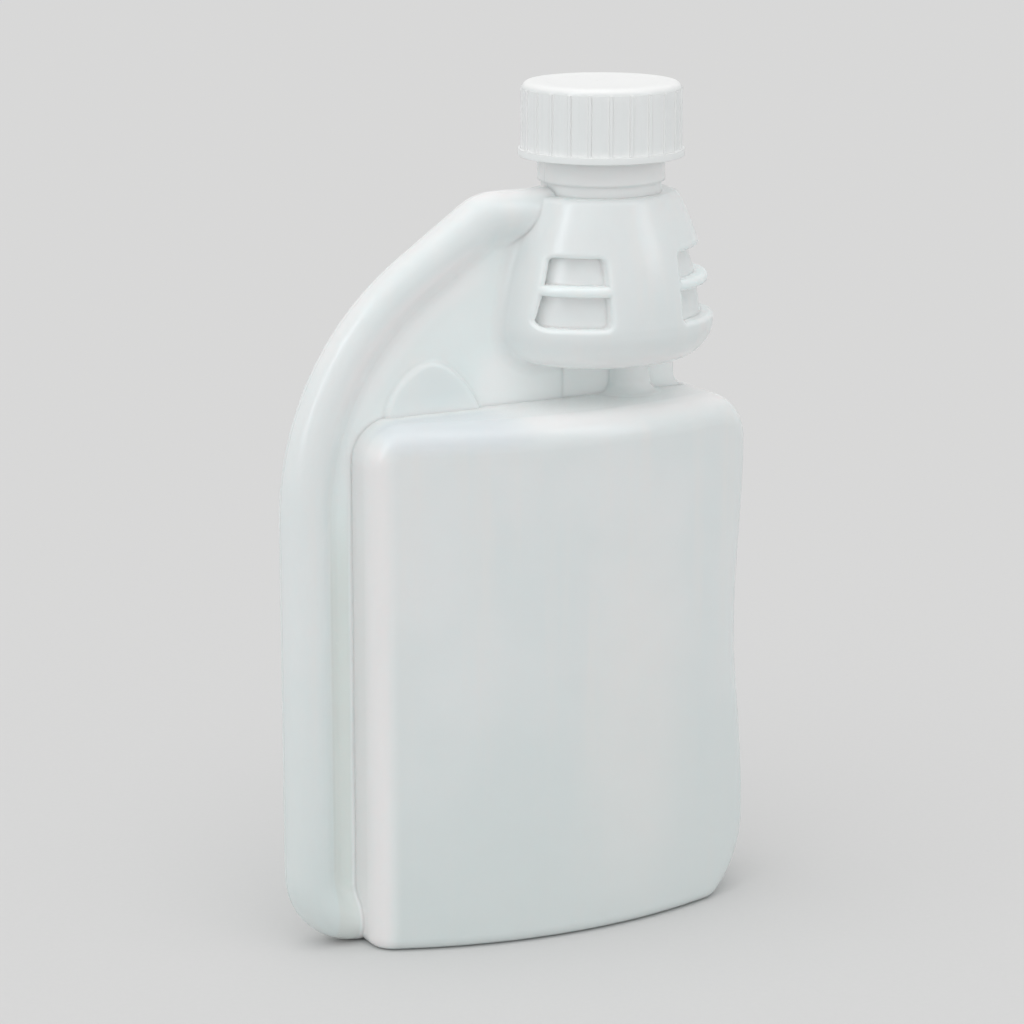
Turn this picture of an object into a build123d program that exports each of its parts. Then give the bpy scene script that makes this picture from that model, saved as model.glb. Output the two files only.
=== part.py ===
from build123d import *
from math import cos, radians, sin
import os

# Pond treatment dosing bottle: a flat squeeze reservoir, a riser tube down one
# side, a dosing chamber above it and a ribbed screw cap.
# Millimetres, +Z up, front face towards -Y, origin under the middle of the
# bottle on the surface it stands on.

os.makedirs("parts", exist_ok=True)

# Wall of the blown bottle
wall = 1.0

# Reservoir, a flat barrel section with a grip waist on its right side
half_width = 48.9
body_left = -34.6
body_top = 103.8
barrel_apex_x = 7.9
body_half_depth = 19.4
barrel_radius = 98.0
waist_x = 45.7
waist_z = 56.4
upper_bulge_x = 47.8
upper_bulge_z = 93.8
lower_bulge_z = 16.0
heel_radius = 20.0
shoulder_radius = 10.0
inner_shoulder_radius = 8.0
rim_round = 5.5
base_round = 2.5

# Recess that leaves the reservoir standing on a rim
base_end_x = 40.8
recess_margin = 6.0
recess_height = 1.2

# Riser tube from the foot of the reservoir up and over into the chamber
tube_radius = 4.6
bore_radius = 3.5
tube_x = -half_width + tube_radius
inlet_x = -30.2
elbow_radius = 10.4
arch_start_z = 85.3
arch_radius = 54.4
arch_sweep = 55.0
ramp_length = 16.4
crown_radius = 7.5
tube_outlet = 11.5
flare_reach = 6.8
flare_tip = 0.7
flare_angle = 25.0

# Flat web that ties tube, chamber and reservoir together
web_half = 1.0
thin_web_half = 0.6
web_step_x = 11.0
web_end_x = 36.2
web_end_round = 3.0
web_blend = 2.5

# Raised thumb pad on the web
pad_height = 1.1
pad_left = -26.7
pad_right = -8.2
pad_peak_z = 112.8
pad_round = 0.8

# Post between reservoir and chamber
post_x = 26.0
post_radius = 4.4
post_flare = 2.6
post_blend = 1.5

# Dosing chamber and neck, on one axis
neck_x = 19.9
chamber_base_z = 111.4
chamber_top_z = 143.8
chamber_widest_z = 113.3
chamber_radius = 22.9
chamber_side_radius = 64.5
chamber_base_round = 7.5
chamber_top_round = 1.6
chamber_squash = 0.9
squash_per_skin = 0.005

# Dose windows, pressed into the chamber with one bar across each
window_depth = 2.5
window_foot_z = 120.0
window_head_z = 133.2
window_near = 7.7
window_head_far = 15.8
window_foot_far = 19.2
window_wrap = 30.0
bar_z = 127.0
bar_half = 1.0
window_round = 0.8

# Neck finish
neck_root = 12.4
neck_waist = 11.7
neck_bore = 10.2
neck_bead_z = 146.1
neck_rim_z = 161.9
thread_crest = 13.65
pitch = 4.23
thread_turns = 1.5
thread_start_z = 154.4
thread_offset = 1.9

# Cap and its liner
cap_base_z = 150.8
cap_height = 14.2
cap_outer = 15.3
cap_inner = 13.95
cap_crest = 12.7
cap_roof = 1.3
cap_rim_round = 1.3
rib_count = 24
rib_height = 0.4
rib_width = 0.7
bead_outer = 16.1
bead_height = 1.3
liner_radius = 13.5


def reservoir(skin):
    """Reservoir form with its recessed base, its surface moved inwards by skin."""
    heel_x = half_width - heel_radius
    heel_arc = heel_radius - skin
    foot_x = heel_x + (heel_arc**2 - (lower_bulge_z - skin) ** 2) ** 0.5
    barrel_y = barrel_radius - body_half_depth
    with BuildPart() as form:
        with BuildSketch(Plane.XZ):
            with BuildLine():
                base = Line((body_left + skin, skin), (foot_x, skin))
                heel = RadiusArc(base @ 1, (half_width - skin, lower_bulge_z), -heel_arc)
                grip = Spline(
                    heel @ 1,
                    (waist_x - skin, waist_z),
                    (upper_bulge_x - skin, upper_bulge_z),
                    tangents=[(0, 1), (0, 1)],
                )
                right = RadiusArc(
                    grip @ 1,
                    (upper_bulge_x - shoulder_radius, body_top - skin),
                    skin - shoulder_radius,
                )
                top = Line(
                    right @ 1, (body_left + inner_shoulder_radius, body_top - skin)
                )
                left = RadiusArc(
                    top @ 1,
                    (body_left + skin, body_top - inner_shoulder_radius),
                    skin - inner_shoulder_radius,
                )
                Line(left @ 1, base @ 0)
            make_face()
        extrude(amount=body_half_depth + 1, both=True)
        with BuildSketch():
            with Locations((barrel_apex_x, barrel_y)):
                Circle(barrel_radius - skin)
            with Locations((barrel_apex_x, -barrel_y)):
                Circle(barrel_radius - skin, mode=Mode.INTERSECT)
        extrude(amount=body_top, mode=Mode.INTERSECT)
        sides = form.faces().sort_by(Axis.Y)
        rims = sides[0].edges() + sides[-1].edges()
        fillet(rims.filter_by(lambda e: e.center().Z > 2 * wall), rim_round - skin)
        fillet(form.faces().sort_by(Axis.Z)[0].edges(), base_round - skin)
        inset = recess_margin - skin
        with BuildSketch():
            with Locations((barrel_apex_x, barrel_y)):
                Circle(barrel_radius - inset)
            with Locations((barrel_apex_x, -barrel_y)):
                Circle(barrel_radius - inset, mode=Mode.INTERSECT)
            with Locations(((body_left + base_end_x) / 2, 0)):
                Rectangle(
                    base_end_x - body_left - 2 * inset, 60, mode=Mode.INTERSECT
                )
        extrude(amount=recess_height + skin, taper=20, mode=Mode.SUBTRACT)
    return form.part


def tube_run():
    """Centre line of the riser tube seen from the front, inlet first."""
    with BuildLine() as run:
        inlet = Line((inlet_x, tube_radius), (tube_x + elbow_radius, tube_radius))
        elbow = RadiusArc(
            inlet @ 1, (tube_x, tube_radius + elbow_radius), elbow_radius
        )
        riser = Line(elbow @ 1, (tube_x, arch_start_z))
        arch = JernArc(riser @ 1, (0, 1), arch_radius, -arch_sweep)
        rise = radians(90 - arch_sweep)
        ramp = PolarLine(arch @ 1, ramp_length, 90 - arch_sweep)
        crown = JernArc(ramp @ 1, (cos(rise), sin(rise)), crown_radius, arch_sweep - 90)
        Line(crown @ 1, (crown @ 1) + Vector(tube_outlet, 0))
    return run.line


def chamber(skin):
    """Dosing chamber form, its surface moved inwards by skin."""
    low = chamber_base_z + skin
    high = chamber_top_z - skin
    arc_radius = chamber_side_radius - skin
    arc_centre = chamber_radius - chamber_side_radius

    def reach(z):
        return arc_centre + (arc_radius**2 - (z - chamber_widest_z) ** 2) ** 0.5

    def off_axis(vertex):
        return vertex.X > 1

    with BuildPart() as form:
        with BuildSketch(Plane((neck_x, 0, 0), x_dir=(0, 1, 0), z_dir=(1, 0, 0))):
            with BuildLine():
                floor = Line((0, low), (reach(low), low))
                middle = (low + high) / 2
                side = ThreePointArc(floor @ 1, (reach(middle), middle), (reach(high), high))
                roof = Line(side @ 1, (0, high))
                Line(roof @ 1, floor @ 0)
            make_face()
            fillet(vertices().filter_by(off_axis).sort_by(Axis.Y)[0], chamber_base_round - skin)
            top_round = max(chamber_top_round - skin, 0.5)
            fillet(vertices().filter_by(off_axis).sort_by(Axis.Y)[-1], top_round)
        revolve(axis=Axis((neck_x, 0, 0), (0, 0, 1)))
        scale(by=(1, chamber_squash - squash_per_skin * skin, 1))
    return form.part


def windows(skin):
    """What the dose windows take from the chamber, grown outwards by skin."""
    with BuildPart() as cut:
        for side in (-1, 1):
            with BuildSketch(Plane.XZ):
                head_outer = window_head_far if side < 0 else window_wrap
                foot_outer = window_foot_far if side < 0 else window_wrap
                with BuildLine():
                    Polyline(
                        (neck_x + side * window_near, window_foot_z),
                        (neck_x + side * foot_outer, window_foot_z),
                        (neck_x + side * head_outer, window_head_z),
                        (neck_x + side * window_near, window_head_z),
                        close=True,
                    )
                make_face()
                fillet(vertices(), 1.2)
                if skin:
                    offset(amount=skin)
            extrude(amount=30, both=True)
        add(chamber(window_depth + skin), mode=Mode.SUBTRACT)
        with BuildSketch(Plane.XZ):
            with Locations((neck_x, bar_z)):
                Rectangle(60, 2 * bar_half)
        if not skin:
            extrude(amount=40, both=True, mode=Mode.SUBTRACT)
    return cut.part


def windowed_chamber():
    """Dosing chamber with its dose windows pressed in and their rims softened."""
    plain = chamber(0)
    with BuildPart() as form:
        add(plain)
        add(windows(0), mode=Mode.SUBTRACT)
        rims = form.edges(Select.LAST).filter_by(lambda edge: plain.distance_to(edge @ 0.5) < 0.1)
        fillet(rims, window_round)
    return form.part


def front_web_edges(form, left, right, low, high):
    """Edges on the front of the thick web whose middles lie in the given range."""
    flat = form.edges().filter_by(lambda edge: abs((edge @ 0.5).Y + web_half) < 0.01)
    return flat.filter_by_position(Axis.X, left, right).filter_by_position(Axis.Z, low, high)


def carried_along(line, section):
    """Solid made by carrying a section along a line."""
    with BuildPart() as carried:
        add(section)
        sweep(path=line, transition=Transition.ROUND)
    return carried.part


def screw_thread(root, crest, start_z, root_half, crest_half):
    """Helical thread about the neck axis, sunk slightly into its wall."""
    sink = 0.3 if crest > root else -0.3
    with BuildPart() as thread:
        with BuildLine():
            coil = Helix(pitch, pitch * thread_turns, root, center=(neck_x, 0, start_z))
        with BuildSketch(Plane(origin=coil @ 0, x_dir=(1, 0, 0), z_dir=coil % 0)):
            with BuildLine():
                Polyline(
                    (-sink, -root_half),
                    (crest - root, -crest_half),
                    (crest - root, crest_half),
                    (-sink, root_half),
                    close=True,
                )
            make_face()
        sweep(path=coil, is_frenet=True)
    return thread.part


# Riser tube section: a round back that runs out on both sides into the web
flat_run = tube_run()
run = Plane.XZ * flat_run
start = Plane(origin=run @ 0, x_dir=(0, 1, 0), z_dir=run % 0)
lean = radians(flare_angle)
side_x = tube_radius * cos(lean)
side_y = -tube_radius * sin(lean)
with BuildSketch(start) as tube_section:
    with BuildLine():
        ThreePointArc((side_x, side_y), (0, tube_radius), (-side_x, side_y))
        Spline(
            (flare_tip, -flare_reach),
            (side_x, side_y),
            tangents=[(0.3, 1), (sin(lean), cos(lean))],
        )
        Spline(
            (-side_x, side_y),
            (-flare_tip, -flare_reach),
            tangents=[(sin(lean), -cos(lean)), (0.3, -1)],
        )
        Line((-flare_tip, -flare_reach), (flare_tip, -flare_reach))
    make_face()
with BuildSketch(start) as bore_section:
    Circle(bore_radius)

# Blown bottle, one piece: skin first, then the space inside it
with BuildPart() as bottle:
    add(reservoir(0))

    # Web between the tube, the chamber and the reservoir
    with BuildSketch(Plane.XZ):
        with BuildLine():
            add(flat_run.edges()[1:6])
            Polyline(
                flat_run.edges()[5] @ 1,
                (web_step_x, (flat_run @ 1).Y),
                (web_step_x, body_top - 3),
                (body_left + 4, body_top - 3),
                (body_left + 4, tube_radius),
                flat_run.edges()[1] @ 0,
            )
        make_face()
    extrude(amount=web_half, both=True)

    # Thinner web under the chamber, its outer end swept down on to the shoulder
    with BuildSketch(Plane.XZ):
        with BuildLine():
            Polyline(
                (web_step_x - 1, body_top - 3),
                (web_step_x - 1, chamber_base_z + 6),
                (web_end_x, chamber_base_z + 6),
                (web_end_x, body_top),
                (web_end_x + web_end_round, body_top),
                (web_end_x + web_end_round, body_top - 3),
                close=True,
            )
        make_face()
        corner = vertices().filter_by(lambda v: abs(v.Y - body_top) < 0.01).sort_by(Axis.X)[0]
        fillet(corner, web_end_round - 0.01)
    extrude(amount=thin_web_half, both=True)

    # Post between reservoir and chamber
    with BuildSketch(Plane((post_x, 0, 0), x_dir=(1, 0, 0), z_dir=(0, -1, 0))):
        with BuildLine():
            Line((0, body_top - 2), (post_radius + post_flare, body_top - 2))
            Line((post_radius + post_flare, body_top - 2), (post_radius + post_flare, body_top))
            RadiusArc(
                (post_radius + post_flare, body_top),
                (post_radius, body_top + post_flare),
                post_flare,
            )
            Line((post_radius, body_top + post_flare), (post_radius, chamber_base_z + 3))
            Line((post_radius, chamber_base_z + 3), (0, chamber_base_z + 3))
            Line((0, chamber_base_z + 3), (0, body_top - 2))
        make_face()
    revolve(axis=Axis((post_x, 0, 0), (0, 0, 1)))

    # Raised thumb pad
    with BuildPart(mode=Mode.PRIVATE) as pad:
        with BuildSketch(Plane.XZ):
            with BuildLine():
                dome = Spline(
                    (pad_left - 0.8, body_top - 1),
                    (pad_left + 1.6, pad_peak_z - 3.5),
                    ((pad_left + pad_right) / 2, pad_peak_z + 0.8),
                    (pad_right - 2.2, pad_peak_z - 4),
                    (pad_right + 1.2, body_top - 1),
                )
                Line(dome @ 1, dome @ 0)
            make_face()
        extrude(amount=web_half + pad_height, both=True)
        fillet(pad.faces().sort_by(Axis.Y)[0].edges(), pad_round)
        fillet(pad.faces().sort_by(Axis.Y)[-1].edges(), pad_round)
    add(pad.part)

    add(carried_along(run, tube_section.sketch))
    add(windowed_chamber())

    # Soft blends of pad, chamber and post on the front, the back their mirror image
    fillet(front_web_edges(bottle, -6, web_step_x - 6, chamber_base_z, window_head_z + 2), web_blend)
    fillet(front_web_edges(bottle, pad_left, pad_right, body_top + 3, pad_peak_z + 3), pad_round)
    post_head = (post_x, -post_radius, chamber_base_z)
    fillet(bottle.edges().sort_by_distance(post_head)[0], post_blend)
    split(bisect_by=Plane.XZ, keep=Keep.TOP)
    mirror(about=Plane.XZ)

    # Neck with its bead and outer thread
    with BuildSketch(Plane((neck_x, 0, chamber_top_z - 2))):
        Circle(neck_waist)
    extrude(amount=neck_bead_z - chamber_top_z + 2.5)
    with BuildSketch(Plane((neck_x, 0, neck_bead_z))):
        Circle(neck_root)
    extrude(amount=neck_rim_z - neck_bead_z)
    add(screw_thread(neck_root, thread_crest, thread_start_z, 1.1, 0.5))

    # Space inside: reservoir, tube bore, chamber and neck bore
    add(reservoir(wall), mode=Mode.SUBTRACT)
    add(carried_along(run, bore_section.sketch), mode=Mode.SUBTRACT)
    add(chamber(wall) - windows(wall), mode=Mode.SUBTRACT)
    with BuildSketch(Plane((neck_x, 0, chamber_top_z - 2))):
        Circle(neck_bore)
    extrude(amount=30, mode=Mode.SUBTRACT)
bottle.part.label = "bottle"
export_step(bottle.part, "parts/bottle.step")

# Screw cap: flats between upright ribs, a bead round its foot, threaded inside
cap_top_z = cap_base_z + cap_height
bore_top_z = cap_top_z - cap_roof
with BuildPart() as cap:
    with BuildSketch(Plane((neck_x, 0, cap_base_z))):
        RegularPolygon(cap_outer, rib_count, major_radius=False)
        with PolarLocations(cap_outer, rib_count, start_angle=180 / rib_count):
            Rectangle(2 * rib_height, rib_width)
    extrude(amount=cap_height - cap_rim_round)
    with BuildSketch(Plane((neck_x, 0, cap_base_z), x_dir=(1, 0, 0), z_dir=(0, -1, 0))):
        Rectangle(cap_outer, cap_height, align=Align.MIN)
        fillet(vertices().sort_by(Axis.Y)[-2:].sort_by(Axis.X)[-1], cap_rim_round)
    revolve(axis=Axis((neck_x, 0, 0), (0, 0, 1)))
    with BuildSketch(Plane((neck_x, 0, cap_base_z))):
        Circle(bead_outer)
    bead = extrude(amount=bead_height)
    with BuildSketch(Plane((neck_x, 0, cap_base_z))):
        Circle(cap_inner)
    extrude(amount=bore_top_z - cap_base_z, mode=Mode.SUBTRACT)
    add(screw_thread(cap_inner, cap_crest, thread_start_z - thread_offset, 0.95, 0.4))
cap.part.label = "cap"
export_step(cap.part, "parts/cap.step")

# Foam liner held under the roof of the cap, seated on the neck rim
with BuildPart() as liner:
    with BuildSketch(Plane((neck_x, 0, neck_rim_z))):
        Circle(liner_radius)
    extrude(amount=bore_top_z - neck_rim_z)
liner.part.label = "liner"
export_step(liner.part, "parts/liner.step")
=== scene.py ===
import bmesh
import bpy
from math import radians
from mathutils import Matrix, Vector

# Natural polyethylene dosing bottle with its white screw cap, seen in soft
# studio light on a plain pale floor.
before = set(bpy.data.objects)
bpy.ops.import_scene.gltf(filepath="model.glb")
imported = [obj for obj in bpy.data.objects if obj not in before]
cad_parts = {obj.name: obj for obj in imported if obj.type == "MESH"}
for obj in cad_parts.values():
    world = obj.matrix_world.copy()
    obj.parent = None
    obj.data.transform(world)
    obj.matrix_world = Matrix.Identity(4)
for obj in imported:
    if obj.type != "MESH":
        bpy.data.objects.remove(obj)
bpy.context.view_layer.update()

# The viewpoint: a long lens, left of the front face and a little above it.
CAMERA_PLACE = Vector((-0.3050, -0.5744, 0.2405))
CAMERA_YAW = 28.0
CAMERA_PITCH = 13.7
LENS_LENGTH = 120.6

camera_data = bpy.data.cameras.new("camera")
camera_data.lens = LENS_LENGTH
camera_data.sensor_width = 36.0
camera_data.clip_start = 0.01
camera = bpy.data.objects.new("camera", camera_data)
camera.location = CAMERA_PLACE
camera.rotation_euler = (radians(90 - CAMERA_PITCH), 0, radians(-CAMERA_YAW))
bpy.context.scene.collection.objects.link(camera)
bpy.context.scene.camera = camera
bpy.context.scene.view_settings.view_transform = "Standard"

# Studio light: an even white tent all round with one broad soft lamp overhead.
# Long cool strips round the bottle are only mirrored in its skin, as streaks.
TENT_STRENGTH = 0.76
OVERHEAD_LEAN = Vector((-0.30, -0.25, 1.0))
OVERHEAD_STRENGTH = 0.86
OVERHEAD_SPREAD = 70.0
STRIP_TINT = (0.90, 0.95, 1.0)

world = bpy.data.worlds.new("tent")
bpy.context.scene.world = world
world.use_nodes = True
tent = world.node_tree.nodes["Background"]
tent.inputs["Color"].default_value = (1, 1, 1, 1)
tent.inputs["Strength"].default_value = TENT_STRENGTH

overhead_data = bpy.data.lights.new("overhead", "SUN")
overhead_data.energy = OVERHEAD_STRENGTH
overhead_data.angle = radians(OVERHEAD_SPREAD)
overhead = bpy.data.objects.new("overhead", overhead_data)
overhead.rotation_euler = (-OVERHEAD_LEAN).to_track_quat("-Z", "Y").to_euler()
bpy.context.scene.collection.objects.link(overhead)


def light_strip(name, place, aim, width, length, watts):
    """A long lamp that shows in glossy skin only and leaves the floor even."""
    lamp = bpy.data.lights.new(name, "AREA")
    lamp.shape = "RECTANGLE"
    lamp.size = width
    lamp.size_y = length
    lamp.energy = watts
    lamp.color = STRIP_TINT
    stand = bpy.data.objects.new(name, lamp)
    stand.location = place
    stand.rotation_euler = (Vector(aim) - Vector(place)).to_track_quat("-Z", "Y").to_euler()
    stand.visible_diffuse = False
    bpy.context.scene.collection.objects.link(stand)
    return stand


light_strip("left_strip", (-0.85, -0.30, 0.62), (-0.03, 0, 0.10), 0.07, 0.9, 2.2)
light_strip("right_strip", (0.55, -0.66, 0.70), (-0.02, 0, 0.10), 0.25, 0.8, 1.5)
light_strip("top_strip", (-0.10, -0.25, 1.00), (0.01, 0, 0.11), 0.8, 0.15, 0.5)

# The floor: a wide sweep of pale matt paper that fills the view.
# Its fibre gives the grey a faint, fine mottle.
FLOOR_REACH = 12.0
FLOOR_DARK = (0.668, 0.667, 0.665, 1)
FLOOR_LIGHT = (0.688, 0.687, 0.685, 1)
FIBRE_SCALE = 900.0

floor_form = bmesh.new()
bmesh.ops.create_grid(floor_form, x_segments=2, y_segments=2, size=FLOOR_REACH)
floor_mesh = bpy.data.meshes.new("floor")
floor_form.to_mesh(floor_mesh)
floor_form.free()
floor = bpy.data.objects.new("floor", floor_mesh)
bpy.context.scene.collection.objects.link(floor)


def material_on(mesh, name):
    """Gives a mesh one new node material; returns its tree and its main shader."""
    material = bpy.data.materials.new(name)
    material.use_nodes = True
    mesh.materials.clear()
    mesh.materials.append(material)
    return material.node_tree, material.node_tree.nodes["Principled BSDF"]


def add_node(tree, kind, settings=None, **values):
    """Adds a node; each value is set on the input it names, or linked if it is an output."""
    made = tree.nodes.new("ShaderNode" + kind)
    for name, setting in (settings or {}).items():
        setattr(made, name, setting)
    for name, value in values.items():
        slot = made.inputs[int(name[1:])] if name[1:].isdigit() else made.inputs[name]
        if isinstance(value, bpy.types.NodeSocket):
            tree.links.new(value, slot)
        else:
            slot.default_value = value
    return made


def blend(tree, share, first, second):
    """Colour between two others by a share."""
    return add_node(tree, "Mix", {"data_type": "RGBA"}, _0=share, _6=first, _7=second).outputs[2]


def noise(tree, place, scale, detail=2.0):
    """Cloudy pattern of the given fineness."""
    return add_node(tree, "TexNoise", Vector=place, Scale=scale, Detail=detail).outputs["Fac"]


paper_tree, paper = material_on(floor_mesh, "pale_paper")
paper_place = add_node(paper_tree, "TexCoord").outputs["Object"]
paper_tone = blend(paper_tree, noise(paper_tree, paper_place, FIBRE_SCALE, 3.0), FLOOR_DARK, FLOOR_LIGHT)
paper_tree.links.new(paper_tone, paper.inputs["Base Color"])
paper.inputs["Roughness"].default_value = 0.95
paper.inputs["Specular IOR Level"].default_value = 0.0

# The bottle: one blown piece of natural high-density polyethylene, milky and
# slightly see-through. The wall clouds where the parison stretched unevenly.
# Painted shade greys it towards the foot, and painted light makes a warm pale
# patch on the front and a paler web, for light coming through the wall.
MILK_COOL = (0.80, 0.865, 0.87, 1)
MILK_PALE = (0.84, 0.895, 0.90, 1)
MILK_WARM_STREAK_AND_GLOW = (0.87, 0.885, 0.87, 1)
MILK_FOOT_SHADE = (0.70, 0.77, 0.76, 1)
MILK_WEB_GLOW = (0.94, 0.945, 0.935, 1)
CLOUD_SCALE = 38.0
CLOUD_SPAN = (0.35, 0.65)
STREAK_SCALE = 260.0
STREAK_DRAW = (1.0, 1.0, 0.05)
STREAK_SPAN = (0.45, 0.80)
STREAK_SHARE = 0.5
FOOT_TOP_Z = 0.075
FOOT_SHADE_SHARE = 0.6
GLOW_PATCH_CENTRE = (0.018, -0.02, 0.045)
GLOW_PATCH_REACH = (0.018, 0.083, 0.055)
GLOW_PATCH_FULL = 0.8
GLOW_PATCH_SHARE = 0.5
WEB_OFF_SEAM = (0.0012, 0.0032)
WEB_X = (-0.0425, -0.0400, 0.0345, 0.0385)
WEB_GLOW_SHARE = 0.35

bottle_tree, skin = material_on(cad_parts["bottle"].data, "natural_polyethylene")
bottle_place = add_node(bottle_tree, "TexCoord").outputs["Object"]
across, depth_in, height = add_node(bottle_tree, "SeparateXYZ", Vector=bottle_place).outputs


def fade(tree, value, start, end, first, last):
    """Smooth change from the first level to the last while the value runs over a stretch."""
    return add_node(
        tree, "MapRange", {"interpolation_type": "SMOOTHSTEP"},
        _0=value, _1=start, _2=end, _3=first, _4=last,
    ).outputs[0]


def joined(tree, operation, first, second=0.0):
    """Result of one operation on two numbers."""
    return add_node(tree, "Math", {"operation": operation}, _0=first, _1=second).outputs[0]


def zone(tree, value, limits, level):
    """Level that starts at the first limit, is full from the second to the third, gone at the fourth."""
    rising = fade(tree, value, limits[0], limits[1], 0.0, level)
    return joined(tree, "MULTIPLY", rising, fade(tree, value, limits[2], limits[3], 1.0, 0.0))


off_seam = joined(bottle_tree, "ABSOLUTE", depth_in)
cloud = noise(bottle_tree, bottle_place, CLOUD_SCALE)
drawn = add_node(bottle_tree, "Mapping", Vector=bottle_place, Scale=STREAK_DRAW).outputs[0]
streak = noise(bottle_tree, drawn, STREAK_SCALE, 3.0)
# Painted light: a warm pale patch on the front face stands in for light coming through the wall.
glow_patch_place = add_node(
    bottle_tree, "Mapping", {"vector_type": "TEXTURE"},
    Vector=bottle_place, Location=GLOW_PATCH_CENTRE, Scale=GLOW_PATCH_REACH,
).outputs[0]
painted_glow_patch = add_node(
    bottle_tree, "TexGradient", {"gradient_type": "SPHERICAL"}, Vector=glow_patch_place
).outputs["Fac"]
# Painted light: the web next to the seam is painted paler for light coming through it.
painted_web_glow = joined(
    bottle_tree, "MULTIPLY", zone(bottle_tree, across, WEB_X, WEB_GLOW_SHARE),
    fade(bottle_tree, off_seam, *WEB_OFF_SEAM, 1.0, 0.0),
)

milk = blend(bottle_tree, fade(bottle_tree, cloud, *CLOUD_SPAN, 0.0, 1.0), MILK_COOL, MILK_PALE)
# Over the wall's own clouds and warm streaks: painted shade greying the foot, and painted light as a
# warm pale patch on the front and a paler web.
for share, tint in (
    (fade(bottle_tree, streak, *STREAK_SPAN, 0.0, STREAK_SHARE), MILK_WARM_STREAK_AND_GLOW),
    (fade(bottle_tree, height, 0.0, FOOT_TOP_Z, FOOT_SHADE_SHARE, 0.0), MILK_FOOT_SHADE),
    (fade(bottle_tree, painted_glow_patch, 0.0, GLOW_PATCH_FULL, 0.0, GLOW_PATCH_SHARE), MILK_WARM_STREAK_AND_GLOW),
    (painted_web_glow, MILK_WEB_GLOW),
):
    milk = blend(bottle_tree, share, milk, tint)

# Light in the milky wall: hollows and shaded walls look paler than paint would,
# the groove beside the tube and the left shoulder darker. This is no pigment, and
# where each zone lies and how strong it is was set against the photo.
MILK_LIT = (0.94, 0.995, 0.99, 1)
MILK_GROOVE = (0.72, 0.73, 0.69, 1)
MILK_SHOULDER = (0.70, 0.745, 0.80, 1)
SIDE_WALL_X = (-0.0358, -0.0350, -0.0335, -0.0295)
SIDE_WALL_TOP_Z = (0.0980, 0.1040)
GROOVE_X = (-0.0402, -0.0394, -0.0358, -0.0350)
GROOVE_TOP_Z = (0.0700, 0.0950)
GROOVE_SHARE = 0.4
SHOULDER_X = (-0.0345, -0.0300, -0.0120, 0.0020)
SHOULDER_Z = (0.0975, 0.1010, 0.1045, 0.1060)
SHOULDER_OFF_SEAM = (0.0032, 0.0062)
SHOULDER_SHARE = 0.5
CHAMBER_SIDE_X = (-0.0120, -0.0020)
UNDER_CHAMBER_Z = (0.1000, 0.1040, 0.1100, 0.1180)
ARCH_CENTRE = (0.0101, 0.0, 0.0853)
ARCH_INNER = (0.0440, 0.0475, 0.0525, 0.0550)
ARCH_START_Z = (0.0980, 0.1140)
ARCH_SHARE = 0.9
NECK_Z = (0.1430, 0.1450, 0.1600, 0.1620)
NECK_SHARE = 0.7
HOLLOW_REACH = 0.004
HOLLOW_SPAN = (0.4, 0.95)


def product(tree, first, *others):
    """Product of two or more levels."""
    for other in others:
        first = joined(tree, "MULTIPLY", first, other)
    return first


def openness(tree, reach):
    """How open a spot is, from 0 deep in a hollow of the same piece to 1 in the open."""
    return add_node(
        tree, "AmbientOcclusion", {"samples": 4, "only_local": True}, Distance=reach
    ).outputs["AO"]


side_wall = product(
    bottle_tree, zone(bottle_tree, across, SIDE_WALL_X, 1.0),
    fade(bottle_tree, height, *SIDE_WALL_TOP_Z, 1.0, 0.0),
)
under_chamber = product(
    bottle_tree, zone(bottle_tree, height, UNDER_CHAMBER_Z, 1.0),
    fade(bottle_tree, across, *CHAMBER_SIDE_X, 0.0, 1.0),
)
arch_flat = add_node(bottle_tree, "VectorMath", {"operation": "MULTIPLY"}, _0=bottle_place, _1=(1, 0, 1))
from_arch = add_node(
    bottle_tree, "VectorMath", {"operation": "DISTANCE"}, _0=arch_flat.outputs["Vector"], _1=ARCH_CENTRE
).outputs["Value"]
under_arch = product(
    bottle_tree, zone(bottle_tree, from_arch, ARCH_INNER, ARCH_SHARE),
    fade(bottle_tree, across, *CHAMBER_SIDE_X, 1.0, 0.0),
    fade(bottle_tree, height, *ARCH_START_Z, 0.0, 1.0),
)
neck_wall = zone(bottle_tree, height, NECK_Z, NECK_SHARE)
lit_wall = fade(bottle_tree, openness(bottle_tree, HOLLOW_REACH), *HOLLOW_SPAN, 1.0, 0.0)
for other_wall in (side_wall, under_chamber, under_arch, neck_wall):
    lit_wall = joined(bottle_tree, "MAXIMUM", lit_wall, other_wall)
groove = product(
    bottle_tree, zone(bottle_tree, across, GROOVE_X, GROOVE_SHARE),
    fade(bottle_tree, height, *GROOVE_TOP_Z, 1.0, 0.0),
)
shoulder = product(
    bottle_tree, zone(bottle_tree, across, SHOULDER_X, SHOULDER_SHARE),
    zone(bottle_tree, height, SHOULDER_Z, 1.0),
    fade(bottle_tree, off_seam, *SHOULDER_OFF_SEAM, 0.0, 1.0),
)
for share, tint in ((lit_wall, MILK_LIT), (groove, MILK_GROOVE), (shoulder, MILK_SHOULDER)):
    milk = blend(bottle_tree, share, milk, tint)
bottle_tree.links.new(milk, skin.inputs["Base Color"])

# Its skin: the grain of the blasted mould, the slow waves of a blown wall, the
# raised line where the mould halves met, and edges softened by the blowing.
GRAIN_SCALE = 2400.0
GRAIN_DEPTH = 0.00003
WAVE_DEPTH = 0.0006
SEAM_HALF = 0.00025
SEAM_DEPTH = 0.00008
SOFT_EDGE = 0.0008
SKIN_ROUGHNESS = (0.19, 0.29)
POLYETHYLENE_IOR = 1.5
SCATTER_DEPTH = 0.0014
SCATTER_TINT = (0.9, 1.0, 1.0)
SCATTER_SHARE = 0.9


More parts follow.
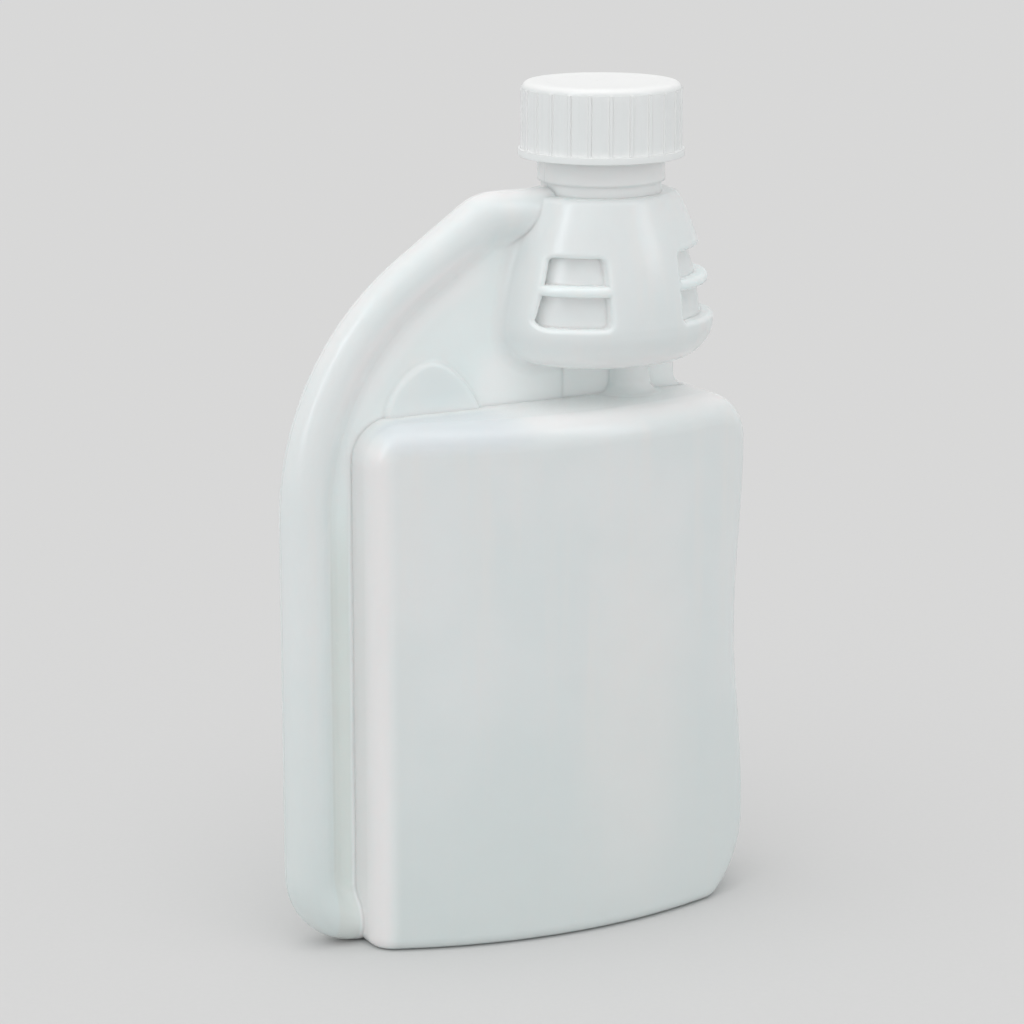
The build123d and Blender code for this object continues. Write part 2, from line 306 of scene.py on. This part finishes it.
def bump(tree, pattern, depth, strength, normal):
    """Normal disturbed by a pattern of heights, on top of another normal."""
    return add_node(
        tree, "Bump", Strength=strength, Distance=depth, Height=pattern, Normal=normal
    ).outputs["Normal"]


grain = noise(bottle_tree, bottle_place, GRAIN_SCALE)
relief = add_node(bottle_tree, "Bevel", {"samples": 4}, Radius=SOFT_EDGE).outputs["Normal"]
seam_line = fade(bottle_tree, off_seam, 0.0, SEAM_HALF, 1.0, 0.0)
for pattern, depth, strength in (
    (cloud, WAVE_DEPTH, 0.35),
    (grain, GRAIN_DEPTH, 0.25),
    (seam_line, SEAM_DEPTH, 0.6),
):
    relief = bump(bottle_tree, pattern, depth, strength, relief)
bottle_tree.links.new(relief, skin.inputs["Normal"])
bottle_tree.links.new(fade(bottle_tree, grain, 0.0, 1.0, *SKIN_ROUGHNESS), skin.inputs["Roughness"])
skin.inputs["IOR"].default_value = POLYETHYLENE_IOR
skin.inputs["Subsurface Weight"].default_value = SCATTER_SHARE
skin.inputs["Subsurface Radius"].default_value = SCATTER_TINT
skin.inputs["Subsurface Scale"].default_value = SCATTER_DEPTH

# The cap: injection-moulded white polypropylene with upright grip ribs and a
# bead round its foot. Its top is faintly dished round the mark of the gate.
# Painted light makes its top whiter and the feet of its ribs paler, for light
# falling on the top and coming through the plastic.
CAP_SHADE = (0.83, 0.865, 0.865, 1)
CAP_WHITE = (0.88, 0.90, 0.90, 1)
CAP_ROOF_PAINTED_LIGHT = (0.95, 0.965, 0.955, 1)
CAP_LIT = (0.98, 0.995, 0.99, 1)
CAP_HOLLOW_REACH = 0.0015
CAP_HOLLOW_SPAN = (0.5, 0.95)
ROOF_START_Z = 0.1637
ROOF_END_Z = 0.1648
CAP_CLOUD_SCALE = 70.0
CAP_GRAIN_SCALE = 2000.0
CAP_GRAIN_DEPTH = 0.00002
CAP_SOFT_EDGE = 0.0003
CAP_ROUGHNESS = (0.28, 0.38)
CAP_SCATTER_DEPTH = 0.0012
CAP_SCATTER_SHARE = 0.4
GATE_RADIUS = 0.0012
DISH_RADIUS = 0.0115
DISH_SLOPE = 0.0012
DISH_DEPTH = 0.0003
CAP_TOP_CENTRE = (0.0199, 0.0, 0.165)

cap_tree, shell = material_on(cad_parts["cap"].data, "white_polypropylene")
cap_place = add_node(cap_tree, "TexCoord").outputs["Object"]
cap_height = add_node(cap_tree, "SeparateXYZ", Vector=cap_place).outputs["Z"]
cap_tone = blend(cap_tree, noise(cap_tree, cap_place, CAP_CLOUD_SCALE), CAP_SHADE, CAP_WHITE)
# Painted light: the top of the cap is painted whiter, as if lit more from above.
painted_roof_light = fade(cap_tree, cap_height, ROOF_START_Z, ROOF_END_Z, 0.0, 1.0)
# Painted light: the hollows at the feet of the ribs are painted paler, in place of their shade.
painted_rib_light = fade(cap_tree, openness(cap_tree, CAP_HOLLOW_REACH), *CAP_HOLLOW_SPAN, 1.0, 0.0)
cap_tone = blend(cap_tree, painted_roof_light, cap_tone, CAP_ROOF_PAINTED_LIGHT)
cap_tone = blend(cap_tree, painted_rib_light, cap_tone, CAP_LIT)
cap_tree.links.new(cap_tone, shell.inputs["Base Color"])
cap_grain = noise(cap_tree, cap_place, CAP_GRAIN_SCALE)
cap_tree.links.new(fade(cap_tree, cap_grain, 0.0, 1.0, *CAP_ROUGHNESS), shell.inputs["Roughness"])

off_axis = add_node(
    cap_tree, "VectorMath", {"operation": "DISTANCE"}, _0=cap_place, _1=CAP_TOP_CENTRE
).outputs["Value"]
dish = fade(cap_tree, off_axis, DISH_RADIUS - DISH_SLOPE, DISH_RADIUS, 0.0, 1.0)
gate = fade(cap_tree, off_axis, 0.6 * GATE_RADIUS, GATE_RADIUS, 1.0, 0.0)
cap_relief = add_node(cap_tree, "Bevel", {"samples": 4}, Radius=CAP_SOFT_EDGE).outputs["Normal"]
for pattern, depth, strength in (
    (dish, DISH_DEPTH, 0.4),
    (gate, DISH_DEPTH, 0.5),
    (cap_grain, CAP_GRAIN_DEPTH, 0.4),
):
    cap_relief = bump(cap_tree, pattern, depth, strength, cap_relief)
cap_tree.links.new(cap_relief, shell.inputs["Normal"])
shell.inputs["Subsurface Weight"].default_value = CAP_SCATTER_SHARE
shell.inputs["Subsurface Radius"].default_value = (1.0, 1.0, 1.0)
shell.inputs["Subsurface Scale"].default_value = CAP_SCATTER_DEPTH

# The liner: a disc of white foam pressed under the roof of the cap, its skin
# pitted by fine cells.
FOAM_DARK = (0.78, 0.78, 0.75, 1)
FOAM_LIGHT = (0.88, 0.88, 0.86, 1)
CELL_SCALE = 1500.0
CELL_DEPTH = 0.0001

foam_tree, disc = material_on(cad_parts["liner"].data, "white_foam")
foam_place = add_node(foam_tree, "TexCoord").outputs["Object"]
cell = add_node(foam_tree, "TexVoronoi", Vector=foam_place, Scale=CELL_SCALE).outputs["Distance"]
foam_tree.links.new(blend(foam_tree, cell, FOAM_DARK, FOAM_LIGHT), disc.inputs["Base Color"])
pitted = add_node(foam_tree, "Bump", Strength=0.5, Distance=CELL_DEPTH, Height=cell)
foam_tree.links.new(pitted.outputs["Normal"], disc.inputs["Normal"])
disc.inputs["Roughness"].default_value = 0.85
